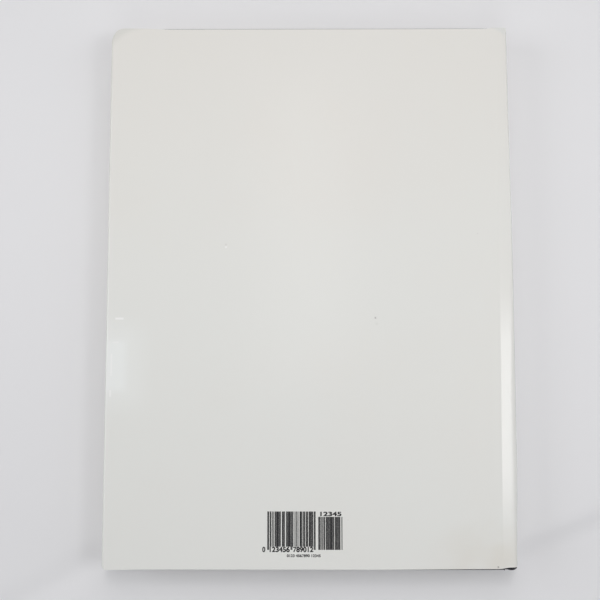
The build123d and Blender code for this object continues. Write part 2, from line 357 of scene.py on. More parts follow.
def graded(half, fine, coarse, margin=8 * mm):
    """Places from tail to head, close together within a margin of both ends."""
    return np.concatenate(
        (
            np.linspace(-half, margin - half, fine)[:-1],
            np.linspace(margin - half, half - margin, coarse),
            np.linspace(half - margin, half, fine)[1:],
        )
    )


def carried(section, y):
    """A section carried along the book: x and z from the section, y from the columns."""
    rows, columns = section.shape[:2]
    along = np.broadcast_to(y, (rows, columns))
    return np.stack((section[..., 0], along, section[..., 1]), axis=-1)


def raised(points, upper=True):
    """Points measured from the middle of the leaves, set at their height above the table.

    The lower side of the book is the upper side mirrored in that middle.
    """
    side = points if upper else points * np.array((1, 1, -1))
    return side + np.array((0, 0, middle))


def bend_over_joint(piece, upper):
    """Bakes a sheet's place into its mesh. The sheet crosses a cover's joint, which starts on the
    block and ends on the cover, but nothing bends it, and the lower sheets are treated as the upper.
    """
    if upper:
        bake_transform(piece)
    else:
        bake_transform(piece)


# %% [markdown]
# ## The laminated paper
#
# The jacket is off-white art paper under a clear film, so it needs three things: a nearly flat
# colour with faint yellowing and handling marks, the film's soft gloss, and the very fine ripple
# that keeps a reflection in film from being a mirror image. Its colour also holds painted light:
# painted highlights and a painted window reflection by the fore-edge, and painted shade at the
# bumped corners of the head. The back of the sheet is bare paper. Every mark is a mask from 0 to 1
# round a place on the cover, mixed into the colour in turn.

# %% Jacket material
# A nick through the film, and small dark specks: places on the cover, radii and strengths
nick = Vector((36.6, -15.0)) * mm
specks = [
    (nick, 0.55 * mm, 1.0),
    (Vector((37.3, -18.3)) * mm, 1.4 * mm, 0.09),
    (Vector((-48.5, 27.1)) * mm, 0.9 * mm, 0.22),
    (Vector((20.5, -127.5)) * mm, 0.4 * mm, 0.3),
    (Vector((67.5, -15.1)) * mm, 0.4 * mm, 0.2),
    (Vector((95.3, 33.3)) * mm, 0.5 * mm, 0.25),
    (Vector((84.6, -78.0)) * mm, 0.4 * mm, 0.2),
    (Vector((103.4, -153.0)) * mm, 0.8 * mm, 1.0),
]

# Painted highlights: glints of light on the fold by the fore-edge, and one small bright spot on the
# panel. Each is an upright rectangle given by two corners, and a strength
painted_glints = [
    (Vector((-113.1, -47.6)) * mm, Vector((-112.6, -35.5)) * mm, 0.75),
    (Vector((-113.4, -59.3)) * mm, Vector((-112.9, -55.9)) * mm, 0.8),
    (Vector((-110.9, -15.7)) * mm, Vector((-106.5, -14.9)) * mm, 0.9),
    (Vector((-112.3, -29.2)) * mm, Vector((-108.9, -28.5)) * mm, 0.45),
    (Vector((-48.9, 25.2)) * mm, Vector((-48.1, 26.0)) * mm, 0.7),
]

# A painted reflection of a window, round the painted glints: a clearer core and a wide haze
reflection_low = Vector((-112.6, -53.0)) * mm
reflection_high = Vector((-108.0, -31.0)) * mm
reflection_core = 6 * mm
reflection_haze = 22 * mm

# The thumbed corner at the tail, by the spine
soiled_place = Vector((100, -153)) * mm
soiled_radius = 46 * mm

# Painted shade at the two bumped corners of the head, where the sheet bends down: how far it reaches
# along the head edge, where a minus means towards the fore-edge, how far it reaches down the side,
# and how round it is
shaded_fore_corner = (30 * mm, 22 * mm, 2.6)
shaded_spine_corner = (-13 * mm, 9 * mm, 1.7)


def near(coords, place, radius):
    """1 at a place on the cover, falling softly to 0 at this radius."""
    x, y = coords.parts()[:2]
    far = ((x - place.x) ** 2.0 + (y - place.y) ** 2.0) ** 0.5
    return far.ramp(0.0, radius, 1.0, 0.0)


def inside(coords, low, high, soft):
    """1 in an upright rectangle on the cover, falling to 0 over a soft border outside it."""
    x, y = coords.parts()[:2]
    across = x.ramp(low.x - soft, low.x) * x.ramp(high.x, high.x + soft, 1.0, 0.0)
    return across * y.ramp(low.y - soft, low.y) * y.ramp(high.y, high.y + soft, 1.0, 0.0)


def corner_shade_mask(coords, corner, run, rise, power):
    """The mask of painted shade at a corner: 1 at a corner of the cover, 0 inside the curve
    u^power + v^power = 1 that rounds it off.

    The curve leaves the edges one run and one rise away from the corner.
    """
    x, y = coords.parts()[:2]
    u = x.math("MAXIMUM", (x - (corner.x + run)) * (-1.0 / run), 0.0)
    v = y.math("MAXIMUM", (y - (corner.y - rise)) * (1.0 / rise), 0.0)
    return (u**power + v**power).ramp(0.9, 1.35)


def jacket_material():
    paint = Material("laminated_paper", Specular_IOR_Level=0.5, Coat_IOR=1.5, Coat_Roughness=0.16)
    coords = paint.coordinates()
    y, z = coords.parts()[1:]
    film = paint.attribute("outside")
    outer = z.ramp(middle + board_top, middle + case_top)

    clouds = coords.noise(14, 3)
    aged = clouds.ramp(0.45, 0.75) * 0.35 + y.ramp(-0.03, case_half) * 0.9
    soiled = near(coords, soiled_place, soiled_radius) * coords.noise(45, 2).ramp(0.2, 0.75)
    dots = sum(near(coords, place, radius) * strength for place, radius, strength in specks)
    # Masks of the painted highlights and of the painted window reflection by the fore-edge
    soft = 0.3 * mm
    glint_paint = sum(inside(coords, low, high, soft) * strength for low, high, strength in painted_glints)
    core = inside(coords, reflection_low, reflection_high, reflection_core)
    haze = inside(coords, reflection_low, reflection_high, reflection_haze)
    # Masks of the painted shade at the bumped corners of the head
    head_left = Vector((jacket_fore_x, case_half))
    head_right = Vector((spine_high.x - 2 * mm, case_half))
    fore_corner_shade = corner_shade_mask(coords, head_left, *shaded_fore_corner) * outer
    spine_corner_shade = corner_shade_mask(coords, head_right, *shaded_spine_corner) * outer
    graze = near(coords, nick, 1.3 * mm) * coords.noise(1500, 3).ramp(0.45, 0.6) * outer

    paper = aged.mix(colour(0.825, 0.83, 0.805), colour(0.82, 0.805, 0.77))
    paper = (soiled * 0.8).mix(paper, colour(0.765, 0.74, 0.685))
    # Painted shade where the bumped corners of the head bend down
    paper = fore_corner_shade.mix(paper, colour(0.745, 0.74, 0.705))
    paper = spine_corner_shade.mix(paper, colour(0.765, 0.77, 0.75))
    # Painted reflection: the pale patch where a window shows in the film by the fore-edge
    paper = ((core * 0.4 + haze * 0.5) * outer).mix(paper, colour(0.9, 0.92, 0.91))
    # Painted highlights: the near-white glints on the fold by the fore-edge
    paper = (glint_paint * outer).mix(paper, colour(0.96, 0.96, 0.955))
    paper = (dots * outer * 0.8).mix(paper, colour(0.2, 0.19, 0.18))
    paper = (graze * 0.55).mix(paper, colour(0.42, 0.41, 0.4))
    paint.set("Base Color", paper)

    handled = coords.noise(90, 4, 0.65)
    paint.set("Roughness", handled.ramp(0.3, 0.7, 0.42, 0.52) + (1 - film) * 0.2)
    paint.set("Coat Weight", film * (1 - graze * 0.8) * 0.7)

    ripple = coords.noise(160, 3)
    fine = coords.noise(1100, 2)
    hills = (ripple * 0.75 + fine * 0.25).bump(0.05 * mm, 0.35)
    paint.set("Normal", hills)
    return paint.made


jacket_paper = jacket_material()

# %% [markdown]
# ## The dust jacket
#
# On the real book the jacket is one folded sheet. Both covers have to open, so here it is two
# halves that meet in the middle of the spine, where no joint bends them. Its section starts at the
# edge of the flap, runs to the fore-edge, folds round the board, crosses the back of the book and
# falls over the joint to the spine.
#
# Four things make it paper and not a box. The printer's crease isn't quite in line with the
# spine. The sheet stands a little short of the case at head and tail. It is loose, so the panel
# has long low waves and the middle of the spine stands off. And the corner at the head of the
# fore-edge has been bumped, so that its square has become a quarter of a disc.

# %% Jacket shape
fold_radius = 1.6 * mm
flap_width = 90.0 * mm
crease_x = 107.55 * mm  # where the crease crosses the middle of the book
crease_lean = 0.0089  # how far it leans out for each length along the book
crease_fall_tail = np.radians(8.0)
crease_fall_head = np.radians(4.0)
spine_fold_sharp = 1.0 * mm  # the bend between the strip and the spine, near the head
spine_fold_round = 3.9 * mm  # and where it is softest
spine_face = np.radians(15.0)  # where the spine's flat face touches its round
spine_stand = 1.0 * mm  # how far the loose sheet stands off the spine in the middle
tail_shy = 0.3 * mm
tail_skew = 0.72 * mm
spine_skew = 1.45 * mm
head_shy = 0.7 * mm
head_corner = 8.0 * mm
tail_corner = 2.4 * mm

# Where along the book the sheet comes off the spine, and where it lies down again
stand_starts = (-150 * mm, -95 * mm)
stand_ends = (10 * mm, 150 * mm)
# The bend into the spine is softest between these two, and this share as soft at the very tail
soft_starts = (-case_half, -110 * mm)
soft_ends = (-95 * mm, 75 * mm)
soft_tail_share = 0.65

# The rows of points lie closer together within these widths of the fore-edge and the crease
flap_close = 8 * mm
panel_close = 10 * mm
crease_close = 0.6 * mm
panel_share = 0.97  # of the board's width, past which the panel's rows lie closer again


def jacket_section(inset, y):
    """The jacket's section for each y, at a depth below its outside.

    A flat flap, two arcs round the fore-edge and the flat panel come first. From the crease a
    straight strip falls at an angle. The spine's face is a line that touches the round of the
    spine, and a bend joins the two: it begins and ends one tangent length from where they meet,
    which is its radius times the tangent of half its turn.
    """
    columns = len(y)
    low = flap_face + inset
    high = jacket_top - inset
    left = jacket_fore_x + fold_radius
    bend = fold_radius - inset
    lower = point(left, flap_face + fold_radius)
    upper = point(left, jacket_top - fold_radius)

    to_head = smooth(y, -case_half, case_half)
    fall = crease_fall_tail + to_head * (crease_fall_head - crease_fall_tail)
    kink = crease_x + crease_lean * y - inset * np.tan(fall / 2)
    down = np.stack((np.cos(fall), -np.sin(fall)), axis=-1)
    out = np.stack((np.sin(fall), np.cos(fall)), axis=-1)
    start = point(kink, high, columns)
    face = np.array((np.cos(spine_face), np.sin(spine_face)))
    stand = smooth(y, *stand_starts) * (1 - smooth(y, *stand_ends))
    soft = soft_tail_share + (1 - soft_tail_share) * smooth(y, *soft_starts)
    soft = soft * (1 - smooth(y, *soft_ends))
    spine_fold = spine_fold_sharp + (spine_fold_round - spine_fold_sharp) * soft
    round_radius = (jacket_radius + spine_stand * stand - inset)[:, None]
    bend_radius = (spine_fold - inset)[:, None]
    turn = np.pi / 2 - spine_face - fall
    meet = round_radius[:, 0] - ((start - spine_axis) * face).sum(axis=-1)
    meet = meet / np.cos(fall + spine_face)
    reach = (meet - spine_fold * np.tan(turn / 2))[:, None]
    centre = start + reach * down - bend_radius * out

    flap_end = point(left + flap_close, low)
    panel_start = point(left + panel_close, high)
    panel_end = point(left + (board_spine_x - left) * panel_share, high)
    before = start - point(crease_close, 0)
    after = start + crease_close * down
    return chain(
        columns,
        line(point(jacket_fore_x + flap_width, low), flap_end, 24),
        line(flap_end, point(left, low), 10),
        arc(lower, bend, -np.pi / 2, -np.pi, 7),
        line(lower - point(bend, 0), upper - point(bend, 0), 3),
        arc(upper, bend, np.pi, np.pi / 2, 7),
        line(point(left, high), panel_start, 14),
        line(panel_start, panel_end, 60),
        line(panel_end, before, 4),
        line(before, start, 3),
        line(start, after, 3),
        line(after, start + reach * down, 5),
        arc(centre, bend_radius, np.pi / 2 - fall, spine_face, 12),
        line(centre + bend_radius * face, spine_axis + round_radius * face, 8),
        arc(spine_axis, round_radius, spine_face, 0, 10),
    )


# %% Corners, ends and waves
# Where the sheet draws back from the case: over three stretches at the tail, and at the head from
# the fore-edge's corner to the joint
tail_fore = (jacket_fore_x + tail_corner, jacket_fore_x + 30 * mm)
tail_panel = (30 * mm, board_spine_x)
tail_joint = (board_spine_x - 3 * mm, shoulder_x)
head_starts = (jacket_fore_x + 18 * mm, jacket_fore_x + 34 * mm)
head_ends = (board_spine_x - 5 * mm, board_spine_x)
end_zone = 20 * mm

wave_height = 0.16 * mm
roll_height = 0.12 * mm
code_margin = 14 * mm  # the panel lies flat round the bar code, and this much further


def rounded_corner(points, radius, end):
    """Squeezes the square at a fore-edge corner into a quarter of a disc.

    A place (a, b) in the square becomes (a * sqrt(1 - b*b/2), b * sqrt(1 - a*a/2)).
    """
    centre_x = jacket_fore_x + radius
    centre_y = end * (case_half - radius)
    a = np.clip((centre_x - points[..., 0]) / radius, 0, 1)
    b = np.clip(end * (points[..., 1] - centre_y) / radius, 0, 1)
    points[..., 0] += radius * (a - a * np.sqrt(1 - b * b / 2))
    points[..., 1] -= end * radius * (b - b * np.sqrt(1 - a * a / 2))
    return points


def trimmed(points):
    """Draws the sheet's ends back from the case: a growing wedge at the tail, less at the head."""
    x = points[..., 0]
    y = points[..., 1]
    wedge = tail_shy * smooth(x, *tail_fore)
    wedge = wedge + (tail_skew - tail_shy) * smooth(x, *tail_panel)
    wedge = wedge + (spine_skew - tail_skew) * smooth(x, *tail_joint)
    hair = head_shy * smooth(x, *head_starts) * (1 - smooth(x, *head_ends))
    at_tail = 1 - smooth(y, -case_half, end_zone - case_half)
    at_head = smooth(y, case_half - end_zone, case_half)
    points[..., 1] = y + wedge * at_tail - hair * at_head
    return points


def bulge(points):
    """How far the loose panel stands off its board: two crossing sine waves, none at the bar code.

    Beside the fore-edge the fold adds a low roll along the book.
    """
    x = points[..., 0]
    y = points[..., 1]
    from_fore = x - jacket_fore_x
    to_joint = board_spine_x - x
    to_end = case_half - abs(y)
    waves = 0.5 + 0.5 * np.sin(x / (21 * mm) + 1.3 * np.sin(y / (47 * mm)) + 0.7)
    waves = waves * (0.5 + 0.5 * np.sin(y / (33 * mm) - x / (60 * mm) + 2.1))
    roll = smooth(from_fore, 0.5 * mm, 5 * mm) * (1 - smooth(from_fore, 5 * mm, 17 * mm))
    roll = roll * (0.6 + 0.4 * np.sin(y / (26 * mm)))
    free = smooth(from_fore, 4 * mm, 25 * mm) * smooth(to_joint, 3 * mm, 25 * mm)
    free = free * smooth(to_end, 4 * mm, 30 * mm)
    at_code = smooth(x, code_low.x - code_margin, code_low.x)
    at_code = at_code * (1 - smooth(x, code_high.x, code_high.x + code_margin))
    at_code = at_code * (1 - smooth(y, code_high.y, code_high.y + code_margin))
    on_top = smooth(points[..., 2], board_top, case_top)
    return (wave_height * waves * free * (1 - at_code) + roll_height * roll) * on_top


# %% Jacket pieces
back_joint = next(j for j in frame["joints"] if j["name"] == "back_cover_hinge")
hinge_place = Vector(back_joint["pos_m"])
# A slanting line, from beside the hinge up to the crease. The jacket halves work out its place,
# but nothing bends along it
bend_start = hinge_place + Vector((2.5 * mm, 0, 0))
bend_end = hinge_place + Vector((-4.54 * mm, 0, 4.22 * mm))


def jacket_half(name, nodes, upper):
    """Half of the jacket, reaching between the block and a cover across their joint."""
    y = graded(case_half, 12, 90)
    faces = []
    for inset in (0.0, jacket_thick):
        points = trimmed(carried(jacket_section(inset, y), y))
        points = rounded_corner(points, head_corner, 1)
        points = rounded_corner(points, tail_corner, -1)
        if upper:
            points[..., 2] += bulge(points)
        faces.append(points)
    outer, inner = [raised(face, upper) for face in faces]
    piece = sheet_piece(name, outer, inner, jacket_paper, turned=not upper)
    outside = piece.data.attributes.new("outside", "FLOAT", "POINT")
    outside.data.foreach_set("value", np.repeat((1.0, 0.0), outer.shape[0] * outer.shape[1]))
    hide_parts(*nodes)
    start, end = bend_start.copy(), bend_end.copy()
    if not upper:
        start.z = 2 * middle - start.z
        end.z = 2 * middle - end.z
    bend_over_joint(piece, upper)


back_nodes = ("jacket_back", "jacket_back_joint", "jacket_spine")
front_nodes = ("jacket_front", "jacket_front_joint")
jacket_half("dust_jacket_back", back_nodes, upper=True)
jacket_half("dust_jacket_front", front_nodes, upper=False)

# %% [markdown]
# ## The black book cloth
#
# The case is covered in a plain weave. Two sets of waves at right angles, one lifted where the
# other is low, give the over and under of the threads, and a little noise makes the yarn uneven.

# %% Cloth material
thread_pitch = 0.42 * mm


def weave(u, v):
    """Over and under, from 0 to 1: each thread is a ridge, and crossings take turns."""
    return u.wave(thread_pitch) * v.wave(thread_pitch) * 0.5 + 0.5


def cloth_material():
    sheen = {"Sheen_Weight": 0.15, "Sheen_Roughness": 0.4}
    paint = Material("black_book_cloth", Specular_IOR_Level=0.35, **sheen)
    coords = paint.coordinates()
    x, y, z = coords.parts()
    threads = weave(x + z, y)
    yarn = coords.noise(900, 3)
    slub = coords.scaled(1, 0.12, 1).noise(420, 2)
    tone = threads * 0.5 + slub * 0.5
    paint.set("Base Color", tone.mix(colour(0.012, 0.012, 0.014), colour(0.04, 0.04, 0.046)))
    paint.set("Roughness", yarn.ramp(0.3, 0.7, 0.66, 0.84))
    paint.set("Normal", (threads * 0.8 + yarn * 0.2).bump(0.12 * mm, 0.8))
    return paint.made


book_cloth = cloth_material()

# %% [markdown]
# ## The cloth in the joints and over the spine
#
# Between the boards the cloth drops into the joint, climbs over the shoulder and wraps the spine.
# Like the jacket it comes in two halves that meet in the middle of the spine. The cloth on the
# boards themselves is already right.

# %% Cloth shape
groove_radius = 3.83 * mm  # of the cloth's outside, round the line of the flare
nose_radius = 1.6 * mm
foot_gap = 0.3 * mm  # between the board's wall and the place where the groove's circle begins


def circles_meet(first, first_radius, second, second_radius):
    """Where two circles of the section cross, on the side that faces the spine."""
    between = second - first
    gap = np.hypot(*between)
    along = (first_radius**2 - second_radius**2 + gap**2) / (2 * gap)
    aside = np.sqrt(first_radius**2 - along**2)
    ahead = between / gap
    return first + along * ahead + aside * np.array((ahead[1], -ahead[0]))


def joint_cloth_section(inset, columns):
    """Down the board's edge, round the groove, over the nose and along the spine's circle.

    The nose touches the groove's circle from outside and the spine's circle from inside, so its
    centre is where two circles round theirs cross.
    """
    outer_ring = groove_radius + nose_radius
    nose = circles_meet(spine_axis, cloth_radius - nose_radius, flare_axis, outer_ring)
    nose_turn = np.arctan2(*(nose - flare_axis)[::-1])
    round_turn = np.arctan2(*(nose - spine_axis)[::-1])
    ring = groove_radius + inset
    wall = board_spine_x + cloth_thick - inset
    rim_z = case_top - cloth_thick
    foot_x = wall + foot_gap - flare_x
    foot_z = -np.sqrt(ring**2 - foot_x**2)
    wall_foot = point(wall, flare_z + foot_z + foot_gap)
    return chain(
        columns,
        arc(point(board_spine_x, rim_z), cloth_thick - inset, np.pi / 2, 0, 5),
        line(point(wall, rim_z), wall_foot, 6),
        line(wall_foot, flare_axis + point(foot_x, foot_z), 3),
        arc(flare_axis, ring, np.arctan2(foot_z, foot_x), nose_turn, 16),
        arc(nose, nose_radius - inset, nose_turn + np.pi, round_turn, 14),
        arc(spine_axis, cloth_radius - inset, round_turn, 0, 24),
    )


def joint_cloth(name, upper):
    """Half of the cloth between the boards: its section carried from tail to head."""
    y = graded(case_half, 4, 30)
    outer, inner = [
        raised(carried(joint_cloth_section(inset, len(y)), y), upper)
        for inset in (0.0, cloth_thick)
    ]
    piece = sheet_piece(name, outer, inner, book_cloth, turned=not upper)
    bend_over_joint(piece, upper)
    return piece


back_joint_cloth = joint_cloth("case_cloth_spine_back", upper=True)
joint_cloth("case_cloth_spine_front", upper=False)
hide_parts("spine_case_cloth")

# %% [markdown]
# ## The endpapers
#
# An endpaper is one folded sheet. Its outer half, the pastedown, is glued inside the cover and
# crosses the joint. Its inner half is the first free leaf. The fold lies along the shoulder.
# Under the pastedown the edges of the turned-in cloth show as a low step.

# %% Endpaper material
def endpaper_material():
    paint = Material("endpaper", Specular_IOR_Level=0.3)
    coords = paint.coordinates()
    fibres = coords.scaled(1, 0.4, 1).noise(700, 4, 0.6)
    clouds = coords.noise(18, 3)
    tone = fibres * 0.35 + clouds * 0.65
    paint.set("Base Color", tone.mix(colour(0.84, 0.83, 0.78), colour(0.88, 0.87, 0.83)))
    paint.set("Roughness", fibres.ramp(0.3, 0.7, 0.72, 0.85))
    paint.set("Normal", (fibres * 0.6 + coords.noise(2600, 2) * 0.4).bump(0.03 * mm, 0.5))
    return paint.made


endpaper = endpaper_material()

# %% Endpaper shapes
turn_in = 15.0 * mm
turn_in_step = 1.5 * mm
turn_in_zone = 20.0 * mm  # where the points lie closer together, so that the step shows
strip_radius = 4.2 * mm  # of the pastedown's visible face where it lies in the joint
strip_gap = 0.6 * mm  # between the board's edge and the place where that round begins
flyleaf_wave = 0.1 * mm


def pastedown_points(depth, y):
    """The pastedown's face at a depth behind its visible one.

    Its height rises by the cloth's thickness inside the turn-ins, and from the board it follows
    a circle round the line of the flare, up to the fold at the shoulder.
    """
    board_x = np.concatenate(
        (
            np.linspace(leaf_fore_x, leaf_fore_x + turn_in_zone, 24)[:-1],
            np.linspace(leaf_fore_x + turn_in_zone, board_spine_x - 1 * mm, 40),
        )
    )
    fold_angle = np.arcsin((shoulder_x - flare_x) / flare_radius)
    joint_angle = np.arcsin((board_spine_x + strip_gap - flare_x) / strip_radius)
    angle = np.linspace(joint_angle, fold_angle, 14)
    ring = strip_radius + paper_thick / 2 - depth
    joint_x = flare_x + ring * np.sin(angle)
    joint_z = flare_z - ring * np.cos(angle)
    x = np.concatenate((board_x, joint_x))[:, None] + 0 * y
    inside_x = smooth(x, board_low.x + turn_in, board_low.x + turn_in + turn_in_step)
    inside_y = smooth(board_high.y - turn_in - abs(y), 0, turn_in_step)
    on_board = pastedown_face + cloth_thick * inside_x * inside_y + depth
    z = np.concatenate((on_board[: len(board_x)], joint_z[:, None] + 0 * y))
    return np.stack((x, np.broadcast_to(y, x.shape), z), axis=-1)


def pastedown_piece(name, node, upper):
    y = graded(leaf_half, 20, 40, turn_in_zone)
    glued, visible = [raised(pastedown_points(depth, y), upper) for depth in (paper_thick, 0.0)]
    piece = sheet_piece(name, glued, visible, endpaper, turned=not upper)
    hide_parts(node)
    bend_over_joint(piece, upper)


def flyleaf_points(height, y):
    """The free leaf: flat over the block, then up the flare, with the faintest waves."""
    flat_x = np.linspace(leaf_fore_x, flare_x, 60)
    angle = np.linspace(0, np.arcsin(flare_run / flare_radius), 10)[1:]
    ring = flare_radius - height
    x = np.concatenate((flat_x, flare_x + ring * np.sin(angle)))[:, None] + 0 * y
    flat_z = leaf_face + height + 0 * flat_x
    z = np.concatenate((flat_z, flare_z - ring * np.cos(angle)))[:, None] + 0 * y
    ends = smooth(x, leaf_fore_x, leaf_fore_x + 30 * mm) * (1 - smooth(x, 60 * mm, flare_x))
    wave = 0.5 + 0.5 * np.sin(x / (19 * mm) + np.sin(y / (40 * mm)))
    z = z + flyleaf_wave * wave * ends
    return np.stack((x, np.broadcast_to(y, x.shape), z), axis=-1)


def flyleaf_piece(name, node, upper):
    y = np.linspace(-leaf_half, leaf_half, 60)
    over, under = [raised(flyleaf_points(height, y), upper) for height in (paper_thick, 0.0)]
    piece = sheet_piece(name, over, under, endpaper, turned=not upper)
    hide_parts(node)
    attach(piece, "book_block")


pastedown_piece("pastedown_back", "back_pastedown", upper=True)
pastedown_piece("pastedown_front", "front_pastedown", upper=False)
flyleaf_piece("flyleaf_back", "back_free_endpaper", upper=True)
flyleaf_piece("flyleaf_front", "front_free_endpaper", upper=False)

# %% [markdown]
# ## The leaves
#
# A trimmed block is a stack of leaves whose edges are almost, but never quite, in one plane. That
# fine irregular ribbing is what makes the edge of a book look like paper. Each leaf gets its own
# small place in and out, and a shallow valley separates it from the next.

# %% Leaf material
def leaf_material():
    paint = Material("leaf_edges", Specular_IOR_Level=0.3)
    coords = paint.coordinates()
    shade = paint.attribute("shade")
    fibres = coords.noise(1500, 3)
    dusty = coords.noise(25, 3)
    tone = shade * 0.6 + fibres * 0.2 + dusty * 0.2
    paint.set("Base Color", tone.mix(colour(0.70, 0.67, 0.59), colour(0.89, 0.87, 0.81)))
    paint.set("Roughness", fibres.ramp(0.3, 0.7, 0.75, 0.88))
    paint.set("Normal", fibres.bump(0.02 * mm, 0.4))
    return paint.made


leaf_paper = leaf_material()

# %% Leaf shapes
leaf_count = 128
valley = 0.07 * mm
ragged = 0.045 * mm
trim_zone = 0.1 * mm  # points this near to a trimmed side belong to it


def leaf_block():
    """Rings round the block, three to a leaf: lower edge, upper edge and the valley above it.

    From the fore-edge each leaf lies level until the flare begins. There it starts to rise along
    an arc, to its own place on the round of the spine. A strip of quads from head to tail closes
    the first ring, and another the last.
    """
    leaf = np.repeat(np.arange(leaf_count), 3)
    share = np.tile((0.1, 0.75, 0.925), leaf_count)
    height = np.clip((leaf + share) / leaf_count * 2 - 1, -1, 1)
    height[0] = -1.0
    height[-1] = 1.0
    in_valley = np.tile((0.0, 0.0, 1.0), leaf_count)
    in_valley[-1] = 0.0
    height = height[:, None]

    z_level = leaf_face * height
    end_x = axis_x + spine_radius * np.cos(spine_angle * height)
    end_z = spine_radius * np.sin(spine_angle * height)
    hollow_radius = (leaf_face**2 + spine_rise**2) / (2 * spine_rise)
    fore_x = leaf_fore_x + spine_rise - hollow_radius + np.sqrt(hollow_radius**2 - z_level**2)

    level_share = np.linspace(0, 1, 16)[None, :]
    flare_share = np.linspace(0, 1, 9)[None, 1:]
    level_x = fore_x + (flare_x - fore_x) * level_share
    rise_x = flare_x + (end_x - flare_x) * flare_share
    bend = (flare_radius - np.sqrt(flare_radius**2 - (flare_share * flare_run) ** 2)) / flare_rise
    edge_x = np.concatenate((level_x, rise_x), axis=1)
    rise_z = z_level + (end_z - z_level) * bend
    edge_z = np.concatenate((z_level + 0 * level_share, rise_z), axis=1)

    fore_y = np.linspace(leaf_half, -leaf_half, 9)[None, 1:-1]
    spine_y = np.linspace(-leaf_half, leaf_half, 9)[None, 1:-1]
    x = np.concatenate((edge_x[:, ::-1], fore_x + 0 * fore_y, edge_x, end_x + 0 * spine_y), axis=1)
    z = np.concatenate((edge_z[:, ::-1], z_level + 0 * fore_y, edge_z, end_z + 0 * spine_y), axis=1)
    head_y = leaf_half + 0 * edge_x
    y = np.concatenate((head_y, fore_y + 0 * fore_x, -head_y, spine_y + 0 * end_x), axis=1)

    dips = valley * in_valley[:, None]
    jitter = rng.normal(0, ragged, (3, leaf_count))[:, leaf, None]
    jitter = np.clip(jitter, -2 * ragged, 0.2 * ragged) * (1 - in_valley[:, None])
    at_fore, at_head, at_tail = dips - jitter
    x = x + np.where(x < fore_x + trim_zone, at_fore, 0)
    at_end = np.sign(y) * np.where(y > 0, at_head, at_tail)
    y = y - np.where(abs(y) > leaf_half - trim_zone, at_end, 0)
    points = np.stack((x, y, z), axis=-1)

    rows, columns = x.shape
    sides = grid_faces(rows, columns + 1)
    sides = sides // (columns + 1) * columns + sides % (columns + 1) % columns
    edge = edge_x.shape[1]
    tail_first = edge + fore_y.shape[1]
    across = np.arange(edge - 1)
    facing = tail_first + edge - 1 - across
    strip = np.stack((across, across + 1, facing - 1, facing), axis=-1)
    top = (rows - 1) * columns
    return points, np.concatenate((sides, strip[:, ::-1], strip + top)), leaf


block_points, block_faces, leaf_of_row = leaf_block()
leaves = mesh_piece("leaves", raised(block_points), block_faces, leaf_paper)
shades = rng.uniform(0, 1, leaf_count)[leaf_of_row]
shade = leaves.data.attributes.new("shade", "FLOAT", "POINT")
shade.data.foreach_set("value", np.repeat(shades, block_points.shape[1]))
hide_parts("text_block")
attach(leaves, "book_block")

# %% [markdown]
# ## Head and tail bands
#
# At each end of the spine a corded bead, wound with thread, hides the glue. Its tape is stuck to
# the back of the leaves. The bead is a circle carried along the round of the spine, and its radius
# rises and falls with every turn of the thread.

# %% Band material
def thread_material():
    paint = Material("band_thread", Specular_IOR_Level=0.4, Sheen_Weight=0.2)
    coords = paint.coordinates()
    yarn = coords.noise(2200, 3)
    paint.set("Base Color", yarn.mix(colour(0.68, 0.65, 0.58), colour(0.84, 0.82, 0.77)))
    paint.set("Roughness", yarn.ramp(0.3, 0.7, 0.5, 0.65))
    paint.set("Normal", yarn.bump(0.03 * mm, 0.5))
    return paint.made


band_thread = thread_material()

# %% Band shapes
bead_radius = 0.9 * mm
thread_width = 0.45 * mm
tape_width = 8.0 * mm


def band(name, node, end):
    """A bead along the round of the spine, with the tape that hangs from it as a second skin."""
    centre_radius = lining_radius - bead_radius
    length = 2 * spine_angle * centre_radius
    along = np.linspace(0, 1, 360)[:, None]
    turn = np.linspace(0, 2 * np.pi, 17)[None, :]
    winding = np.abs(np.sin(np.pi * along * length / thread_width + turn / 2))
    closing = np.sqrt(np.clip(1 - (2 * np.abs(along - 0.5)) ** 40, 0, 1))
    radius = bead_radius * (0.9 + 0.1 * winding) * closing
    angle = spine_angle * (2 * along - 1)
    reach = centre_radius + radius * np.cos(turn)
    bead = np.stack(
        (
            axis_x + reach * np.cos(angle),
            end * (leaf_half + bead_radius + radius * np.sin(turn)),
            reach * np.sin(angle),
        ),
        axis=-1,
    )
    rows, columns = bead.shape[:2]
    faces = grid_faces(rows, columns, turned=end > 0)
    piece = mesh_piece(name, raised(bead), faces, band_thread)
    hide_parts(node)
    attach(piece, "book_block")

    y = end * np.linspace(leaf_half + bead_radius, leaf_half - tape_width, 12)
    outer, inner = [
        raised(carried(chain(len(y), arc(spine_axis, r, -spine_angle, spine_angle, 40)), y))
        for r in (lining_radius, spine_radius)
    ]
    tape_name = name + "_tape"
    tape = sheet_piece(tape_name, outer, inner, band_thread, turned=end > 0)
    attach(tape, "book_block")


band("head_band", "headband", 1)
band("tail_band", "tailband", -1)

# %% [markdown]
# ## Card and lining
#
# The boards and the spine's inlay are grey card, and the lining is brown paper. Their solids are
# already right, so they only need a finish.

# %% Finishes for the solids that stay
def card_material(name, dark, light):
    paint = Material(name, Specular_IOR_Level=0.25)
    coords = paint.coordinates()
    fibres = coords.scaled(1, 0.3, 3).noise(900, 4, 0.65)
    paint.set("Base Color", fibres.mix(dark, light))
    paint.set("Roughness", fibres.ramp(0.3, 0.7, 0.8, 0.92))
    paint.set("Normal", fibres.bump(0.05 * mm, 0.5))
    return paint.made


